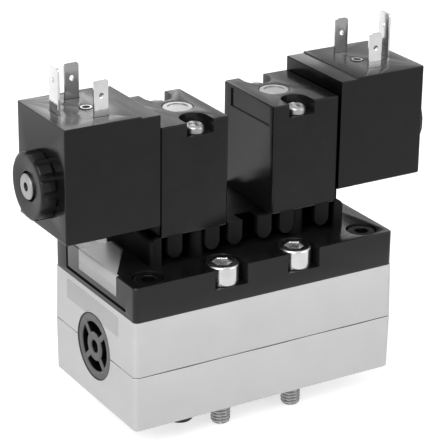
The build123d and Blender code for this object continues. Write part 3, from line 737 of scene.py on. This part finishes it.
def threadRings(screw, centre):
    length = screw["threadTop"] - screw["tip"]
    rows = int(round(length / screw["pitch"] * screw["rowsPerPitch"]))
    rings = []
    for row in range(rows + 1):
        above = length * row / rows
        height = screw["tip"] + above
        limit = screw["crest"]
        if above < screw["tipRound"]:
            share = 1 - above / screw["tipRound"]
            limit -= screw["tipRound"] * (1 - math.sqrt(max(0, 1 - share * share)))
        radii = [threadRadius(screw, height, limit, angle) for angle in circleAngles(screw["points"])]
        rings.append(ringOf(centre, height, radii))
    return rings


def hexagonRadii(across, count):
    side = math.pi / 3
    turns = [(angle + side / 2) % side - side / 2 for angle in circleAngles(count)]
    return [across / 2 / math.cos(turn) for turn in turns]


def socketScrewRings(screw, centre):
    count = screw["points"]
    top = screw["top"]
    seat = top - screw["headHeight"]
    rim = screw["rim"]
    edge = screw["seatEdge"]
    floor = top - screw["socketDepth"]
    rings = threadRings(screw, centre)
    rings.append(roundRing(centre, screw["threadTop"] + screw["threadEnd"], screw["neck"], count))
    rings.append(roundRing(centre, seat, screw["neck"], count))
    rings.append(roundRing(centre, seat, screw["head"] - edge, count))
    rings.append(roundRing(centre, seat + edge, screw["head"], count))
    for turn in quarterTurns(screw["rimSteps"]):
        height = top - rim + rim * math.sin(turn)
        rings.append(roundRing(centre, height, screw["head"] - rim + rim * math.cos(turn), count))
    hexagon = hexagonRadii(screw["across"], count)
    rings.append(ringOf(centre, top, [radius + screw["socketEdge"] for radius in hexagon]))
    rings.append(ringOf(centre, top - screw["socketEdge"], hexagon))
    rings.append(ringOf(centre, floor + screw["socketCone"], hexagon))
    rings.append(ringOf(centre, floor, [radius * coneShare for radius in hexagon]))
    return rings


def makeSocketScrews(name, screw, finish, node):
    mesh = bmesh.new()
    for x in (-screw["halfX"], screw["halfX"]):
        for y in (-screw["halfY"], screw["halfY"]):
            addStack(mesh, socketScrewRings(screw, (x, y)))
    piece = placePiece(name, mesh, finish)
    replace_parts(piece, node)


makeSocketScrews("mountingScrewSet", mountingScrew, "screw_steel", "mounting_screws")
makeSocketScrews("coverScrewSet", coverScrew, "screw_black", "cover_screws")
print("socket screws made")

# Pan head screws of the pilots, domed, with a tapered cross recess
pilotScrewLow, pilotScrewHigh = spanOf("pilot_screws_right")
pilotScrew = {
    "points": 48,
    "x": 0.0173,
    "y": 0.0108,
    "tip": pilotScrewLow.z,
    "top": pilotScrewHigh.z,
    "shank": 0.0015,
    "tipShare": 0.7,          # radius of the tip, as a share of the shank
    "tipEdge": 0.0005,
    "head": 0.0030,
    "headHeight": 0.0025,
    "seatEdge": 0.00015,
    "dome": 0.0011,
    "domeTurn": 68,           # degrees
    "domeSteps": 7,
    "domeFlat": 0.30,
    "crossLength": 0.0040,
    "crossWidth": 0.0011,
    "crossDepth": 0.0016,
    "crossTaper": 0.55,
    "crossRim": 0.00016,
    "crossRimDrop": 0.00006,
}
almostNothing = 1e-9          # keeps a division clear of zero


def crossRadii(length, width, count):
    radii = []
    for angle in circleAngles(count):
        across = abs(math.cos(angle)) + almostNothing
        along = abs(math.sin(angle)) + almostNothing
        armX = min(length / 2 / across, width / 2 / along)
        armY = min(width / 2 / across, length / 2 / along)
        radii.append(max(armX, armY))
    return radii


def panScrewRings(screw, centre):
    count = screw["points"]
    top = screw["top"]
    seat = top - screw["headHeight"]
    edge = screw["seatEdge"]
    domeTurn = math.radians(screw["domeTurn"])
    rings = [roundRing(centre, screw["tip"], screw["shank"] * screw["tipShare"], count)]
    rings.append(roundRing(centre, screw["tip"] + screw["tipEdge"], screw["shank"], count))
    rings.append(roundRing(centre, seat, screw["shank"], count))
    rings.append(roundRing(centre, seat, screw["head"] - edge, count))
    rings.append(roundRing(centre, seat + edge, screw["head"], count))
    for step in range(screw["domeSteps"]):
        turn = domeTurn * step / screw["domeSteps"]
        rise = screw["dome"] * math.sin(turn) / math.sin(domeTurn)
        share = screw["domeFlat"] + (1 - screw["domeFlat"]) * math.cos(turn)
        rings.append(roundRing(centre, top - screw["dome"] + rise, screw["head"] * share, count))
    rim = screw["crossLength"] / 2 + screw["crossRim"]
    cross = crossRadii(screw["crossLength"], screw["crossWidth"], count)
    taper = [radius * screw["crossTaper"] for radius in cross]
    rings.append(roundRing(centre, top - screw["crossRimDrop"], rim, count))
    rings.append(ringOf(centre, top, cross))
    rings.append(ringOf(centre, top - screw["crossDepth"], taper))
    return rings


dullSteel = turnedSteel("dullScrew", tone=0.46, roughness=0.36)
for sign, side in ((-1, "left"), (1, "right")):
    mesh = bmesh.new()
    for y in (-pilotScrew["y"], pilotScrew["y"]):
        addStack(mesh, panScrewRings(pilotScrew, (sign * pilotScrew["x"], y)))
    piece = placePiece("panScrews_" + side, mesh, "screw_steel", finish=dullSteel)
    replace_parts(piece, "pilot_screws_" + side)
print("pan head screws made")

# Contact blades: flat mirror-bright sides, chamfered edges, a round hole and a rounded tip
powerLow, powerHigh = spanOf("power_contacts_right")
earthLow, earthHigh = spanOf("earth_contact_right")
powerBlade = {
    "width": powerHigh.x - powerLow.x,
    "height": powerHigh.z - connector.z,
    "depth": connector.z - powerLow.z,
    "thickness": earthHigh.x - earthLow.x,
    "hole": 0.0062,
    "holeRadius": 0.0008,
    "tip": 0.0012,
    "tipFlat": 0.9,           # height of the rounded corner, as a share of its width
    "tipSteps": 8,
    "sideSteps": 8,
    "edge": 0.00012,
    "sharp": 20,              # degrees from which an edge stays sharp
}
earthBlade = dict(
    powerBlade,
    width=earthHigh.y - earthLow.y,
    height=earthHigh.z - connector.z,
    hole=0.0097,
)
powerLine = powerHigh.y - powerBlade["thickness"] / 2
earthX = (earthLow.x + earthHigh.x) / 2


def bladeOutline(blade, inset):
    half = blade["width"] / 2 - inset
    top = blade["height"] - inset
    foot = -blade["depth"]
    tip = blade["tip"]
    steps = blade["sideSteps"]
    points = [(half, foot + inset)]
    points += [(half, foot + (top - tip - foot) * k / steps) for k in range(1, steps)]
    for turn in quarterTurns(blade["tipSteps"]):
        rise = tip * blade["tipFlat"] * math.sin(turn)
        points.append((half - tip + tip * math.cos(turn), top - tip + rise))
    mirrored = [(-across, up) for across, up in reversed(points)]
    return points + mirrored


def holeOutline(blade, outline):     # one point of the round hole for each point of the outline
    points = []
    for across, up in outline:
        turn = math.atan2(up - blade["hole"], across)
        points.append((blade["holeRadius"] * math.cos(turn),
                       blade["hole"] + blade["holeRadius"] * math.sin(turn)))
    return points


def addBlade(mesh, blade, origin, across):
    through = across.cross(Vector((0, 0, 1)))
    half = blade["thickness"] / 2
    flank = half - blade["edge"]
    outside = bladeOutline(blade, 0)
    face = bladeOutline(blade, blade["edge"])
    hole = holeOutline(blade, face)
    levels = [(hole, half), (face, half), (outside, flank), (outside, -flank), (face, -half), (hole, -half)]
    rings = [[origin + across * side + Vector((0, 0, up)) + through * level for side, up in outline]
             for outline, level in levels]
    joinRows(mesh, addRows(mesh, rings))


def placeBlades(name, mesh, node):
    bmesh.ops.recalc_face_normals(mesh, faces=mesh.faces)
    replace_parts(placePiece(name, mesh, "contact_tin", powerBlade["sharp"]), node)


for sign, side in ((-1, "left"), (1, "right")):
    mesh = bmesh.new()
    for y in (-powerLine, powerLine):
        addBlade(mesh, powerBlade, Vector((sign * connector.x, y, connector.z)), Vector((1, 0, 0)))
    placeBlades("powerBlades_" + side, mesh, "power_contacts_" + side)
    mesh = bmesh.new()
    addBlade(mesh, earthBlade, Vector((sign * earthX, 0, connector.z)), Vector((0, 1, 0)))
    placeBlades("earthBlade_" + side, mesh, "earth_contact_" + side)
print("contact blades made")

# Hand nuts of the coils: fluted side, rounded rim, dished face and a gap round the stud
coilNut = {
    "points": 192,
    "back": coilFace,
    "length": spanOf("coil_nut_right")[1].x - coilFace,
    "axis": 0.072,
    "radius": 0.01005,
    "flutes": 12,
    "fluteRadius": 0.0018,
    "fluteOut": 0.0012,       # how far a flute's centre lies outside the rim
    "rimDepth": 0.0008,
    "rimWidth": 0.0014,
    "rimSteps": 8,
    "backEdge": 0.0004,
    "hub": 0.0045,
    "dish": 0.0006,
    "recess": 0.0020,
    "bore": 0.00382,
    "grooveOuter": 0.00702,
    "grooveInner": 0.00628,
    "grooveDepth": 0.0007,
}


def fluteAt(nut, angle):
    pitch = 2 * math.pi / nut["flutes"]
    turn = (angle + pitch / 2) % pitch - pitch / 2
    centre = nut["radius"] + nut["fluteOut"]
    under = nut["fluteRadius"] ** 2 - (centre * math.sin(turn)) ** 2
    return centre * math.cos(turn) - math.sqrt(under) if under > 0 else nut["radius"]


def nutRing(nut, sign, along, limit):
    ring = []
    for angle in circleAngles(nut["points"]):
        radius = min(limit, fluteAt(nut, angle))
        ring.append(Vector((sign * (nut["back"] + along),
                            radius * math.cos(angle),
                            nut["axis"] + radius * math.sin(angle))))
    return ring


def nutProfile(nut):     # pairs of distance from the coil and radius, round the section
    face = nut["length"]
    profile = [(0, nut["radius"] - nut["backEdge"]), (nut["backEdge"], nut["radius"])]
    for turn in quarterTurns(nut["rimSteps"]):
        profile.append((face - nut["rimDepth"] * (1 - math.sin(turn)),
                        nut["radius"] - nut["rimWidth"] * (1 - math.cos(turn))))
    profile += [(face - nut["dish"], nut["hub"]),
                (face - nut["recess"], nut["hub"]),
                (face - nut["recess"], nut["bore"]),
                (0, nut["bore"]),
                (0, nut["grooveInner"]),
                (nut["grooveDepth"], nut["grooveInner"]),
                (nut["grooveDepth"], nut["grooveOuter"]),
                (0, nut["grooveOuter"])]
    return profile


for sign, side in ((-1, "left"), (1, "right")):
    mesh = bmesh.new()
    rings = [nutRing(coilNut, sign, along, limit) for along, limit in nutProfile(coilNut)]
    joinRows(mesh, addRows(mesh, rings))
    bmesh.ops.recalc_face_normals(mesh, faces=mesh.faces)
    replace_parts(placePiece("handNut_" + side, mesh, "nut_plastic"), "coil_nut_" + side)
print("hand nuts made")

# Dark seals that show as a thin line round the two end plugs
plugSeal = {
    "radius": 0.01036,
    "section": 0.00022,
    "points": 96,
    "sides": 8,
}


def plugSealRing(seal, sign, around):     # one round section of the seal
    ring = []
    for turn in circleAngles(seal["sides"]):
        radius = seal["radius"] + seal["section"] * math.cos(turn)
        ring.append((sign * (plugFace + seal["section"] * math.sin(turn)),
                     radius * math.cos(around),
                     jointHeight + radius * math.sin(around)))
    return ring


def makePlugSeals():
    mesh = bmesh.new()
    for sign in (-1, 1):
        rings = [plugSealRing(plugSeal, sign, around) for around in circleAngles(plugSeal["points"])]
        joinRows(mesh, addRows(mesh, rings))
    bmesh.ops.recalc_face_normals(mesh, faces=mesh.faces)
    placePiece("plugSealLines", mesh, "seal_rubber")


makePlugSeals()
print("plug seals made")

# Label: one sheet folded over the end of the cover, its front corner cut away
labelLow, labelHigh = spanOf("label")
labelSheet = {
    "drop": coverHigh.z - labelLow.z,
    "reach": labelHigh.x - coverLow.x,
    "front": labelLow.y,
    "back": labelHigh.y,
    "cut": 0.0163,            # length of the cut, along the end of the cover
    "cutEnd": 0.0001,
    "thickness": labelHigh.z - coverHigh.z,
    "fold": 0.0006,
    "rows": 40,
    "foldSteps": 6,
    "topSteps": 10,
    "sharp": 60,
}


def labelLine(sheet, y):     # up the end of the cover, round the fold and along its top
    outerX = coverLow.x - sheet["thickness"]
    outerZ = coverHigh.z + sheet["thickness"]
    fold = sheet["fold"]
    cutReach = sheet["reach"] * (y - sheet["front"]) / sheet["cut"]
    reach = min(sheet["reach"], max(fold + sheet["cutEnd"], cutReach))
    line = [Vector((outerX, y, coverHigh.z - sheet["drop"])), Vector((outerX, y, outerZ - fold))]
    for turn in quarterTurns(sheet["foldSteps"])[1:]:
        inwards = fold * (1 - math.cos(turn))
        line.append(Vector((outerX + inwards, y, outerZ - fold * (1 - math.sin(turn)))))
    start = outerX + fold
    flat = coverLow.x + reach - start
    for step in range(1, sheet["topSteps"] + 1):
        line.append(Vector((start + flat * step / sheet["topSteps"], y, outerZ)))
    return line


def makeLabel():
    sheet = labelSheet
    width = sheet["back"] - sheet["front"]
    mesh = bmesh.new()
    rows = addRows(mesh, [labelLine(sheet, sheet["front"] + width * row / sheet["rows"])
                          for row in range(sheet["rows"] + 1)])
    for low, high in zip(rows, rows[1:]):
        for i in range(len(low) - 1):
            mesh.faces.new((low[i], low[i + 1], high[i + 1], high[i]))
    bmesh.ops.recalc_face_normals(mesh, faces=mesh.faces)
    piece = placePiece("foldedLabel", mesh, "label_foil", sheet["sharp"])
    solid = piece.modifiers.new("thickness", "SOLIDIFY")
    solid.thickness = sheet["thickness"]
    solid.offset = -1
    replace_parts(piece, "label")


makeLabel()
print("label folded")

# Seal in the joint between the two body halves, squeezed a little more in some stretches
jointSeal = {
    "length": 0.090,
    "width": 0.051,
    "corner": 0.0016,
    "halfThickness": 0.00011,
    "near": 0.00006,          # least and greatest distance inside the edge of the body
    "far": 0.00022,
    "waveX": (210, 1.3),      # radians a metre, and radians at the middle
    "waveY": (170, 0.4),
    "inner": 0.0010,
    "step": 0.0012,
    "plugGap": 0.0110,        # half the stretch that the end plugs interrupt
    "endZone": 0.001,
}
cornerSteps = 6


def roundedLoop(length, width, corner, step):     # pairs of a place and its outward direction
    points = []
    for quarter, (sx, sy) in enumerate(((1, 1), (-1, 1), (-1, -1), (1, -1))):
        centre = Vector((sx * (length / 2 - corner), sy * (width / 2 - corner)))
        for turn in quarterTurns(cornerSteps):
            heading = quarter * math.pi / 2 + turn
            outwards = Vector((math.cos(heading), math.sin(heading)))
            points.append((centre + corner * outwards, outwards))
    loop = []
    for (here, outHere), (after, outAfter) in zip(points, points[1:] + points[:1]):
        pieces = max(1, int((after - here).length / step))
        for k in range(pieces):
            share = k / pieces
            loop.append((here.lerp(after, share), outHere.lerp(outAfter, share).normalized()))
    return loop


def sealSection(place, outwards, inset, inner, height, halfThickness):     # a flat strip's four corners
    front = place - outwards * inset
    back = place - outwards * inner
    low = height - halfThickness
    high = height + halfThickness
    return [(*front, low), (*front, high), (*back, high), (*back, low)]


def jointSection(seal, place, outwards):
    (turnsX, startX), (turnsY, startY) = seal["waveX"], seal["waveY"]
    squeeze = 0.5 + 0.5 * math.sin(turnsX * place.x + startX) * math.cos(turnsY * place.y + startY)
    inset = seal["near"] + (seal["far"] - seal["near"]) * squeeze
    return sealSection(place, outwards, inset, seal["inner"], jointHeight, seal["halfThickness"])


def makeJointSeal():
    seal = jointSeal
    mesh = bmesh.new()
    loop = roundedLoop(seal["length"], seal["width"], seal["corner"], seal["step"])
    sections = addRows(mesh, [jointSection(seal, place, outwards) for place, outwards in loop])
    spans = list(zip(loop, sections))
    for (here, first), (after, second) in zip(spans, spans[1:] + spans[:1]):
        middle = (here[0] + after[0]) / 2
        if abs(middle.x) > seal["length"] / 2 - seal["endZone"] and abs(middle.y) < seal["plugGap"]:
            continue
        for k in range(4):
            j = (k + 1) % 4
            mesh.faces.new((first[k], second[k], second[j], first[j]))
    bmesh.ops.holes_fill(mesh, edges=[edge for edge in mesh.edges if edge.is_boundary], sides=4)
    bmesh.ops.delete(mesh, geom=[vert for vert in mesh.verts if not vert.link_faces], context="VERTS")
    bmesh.ops.recalc_face_normals(mesh, faces=mesh.faces)
    placePiece("jointSeal", mesh, "seal_rubber")


makeJointSeal()
print("joint seal made")

# Thin seals squeezed out under the two pilot blocks
footSeal = {
    "corner": 0.0011,
    "halfThickness": 0.00026,
    "inset": 0.00012,
    "inner": 0.0012,
    "step": 0.004,
}


def footSection(seal, shift, place, outwards):
    section = sealSection(place, outwards, seal["inset"], seal["inner"], blockLow.z, seal["halfThickness"])
    return [(shift + x, y, z) for x, y, z in section]


def makeFootSeals():
    seal = footSeal
    mesh = bmesh.new()
    centre = (blockLow.x + blockHigh.x) / 2
    loop = roundedLoop(blockHigh.x - blockLow.x, blockHigh.y - blockLow.y, seal["corner"], seal["step"])
    for shift in (-centre, centre):
        sections = [footSection(seal, shift, place, outwards) for place, outwards in loop]
        joinRows(mesh, addRows(mesh, sections))
    bmesh.ops.recalc_face_normals(mesh, faces=mesh.faces)
    placePiece("footSeals", mesh, "seal_rubber")


makeFootSeals()
print("foot seals made")

# Bare panel on the left end of the upper half, a thin foil that follows the draft of the casting
endPanel = {
    "front": -0.0150,
    "back": 0.0175,
    "low": 0.0265,
    "high": 0.0327,
    "corner": 0.0005,
    "cornerSteps": 4,
    "thickness": 0.00006,
    "faceAtJoint": -0.0450,
    "lean": 0.0004,           # how far the casting leans in from the joint to its top
    "plugClear": 0.0109,      # radius of the arc that leaves the end plug free
    "arcSteps": 12,
    "tone": 0.50,
}


def panelCorner(panel, centre, quarter):
    turns = [quarter * math.pi / 2 + turn for turn in quarterTurns(panel["cornerSteps"])]
    return [(centre[0] + panel["corner"] * math.cos(turn), centre[1] + panel["corner"] * math.sin(turn))
            for turn in turns]


def panelOutline(panel):     # pairs of y and z
    corner = panel["corner"]
    clear = panel["plugClear"]
    outline = panelCorner(panel, (panel["back"] - corner, panel["high"] - corner), 0)
    outline += panelCorner(panel, (panel["front"] + corner, panel["high"] - corner), 1)
    outline += panelCorner(panel, (panel["front"] + corner, panel["low"] + corner), 2)
    start = math.asin((panel["low"] - jointHeight) / clear)
    for step in range(panel["arcSteps"] + 1):
        turn = math.pi - start - (math.pi - 2 * start) * step / panel["arcSteps"]
        outline.append((clear * math.cos(turn), jointHeight + clear * math.sin(turn)))
    outline += panelCorner(panel, (panel["back"] - corner, panel["low"] + corner), 3)
    return outline


def makeEndPanel():
    panel = endPanel
    mesh = bmesh.new()
    rings = []
    for thickness in (0.0, panel["thickness"]):
        face = panel["faceAtJoint"] - thickness
        rings.append([Vector((face + panel["lean"] * (z - jointHeight) / jointHeight, y, z))
                      for y, z in panelOutline(panel)])
    addStack(mesh, rings)
    bmesh.ops.recalc_face_normals(mesh, faces=mesh.faces)
    etched = castAlloy("etchedAlloy", dict(alloyLook, tone=panel["tone"]))
    placePiece("endPanel", mesh, "cast_alloy", finish=etched)


makeEndPanel()
print("end panel made")
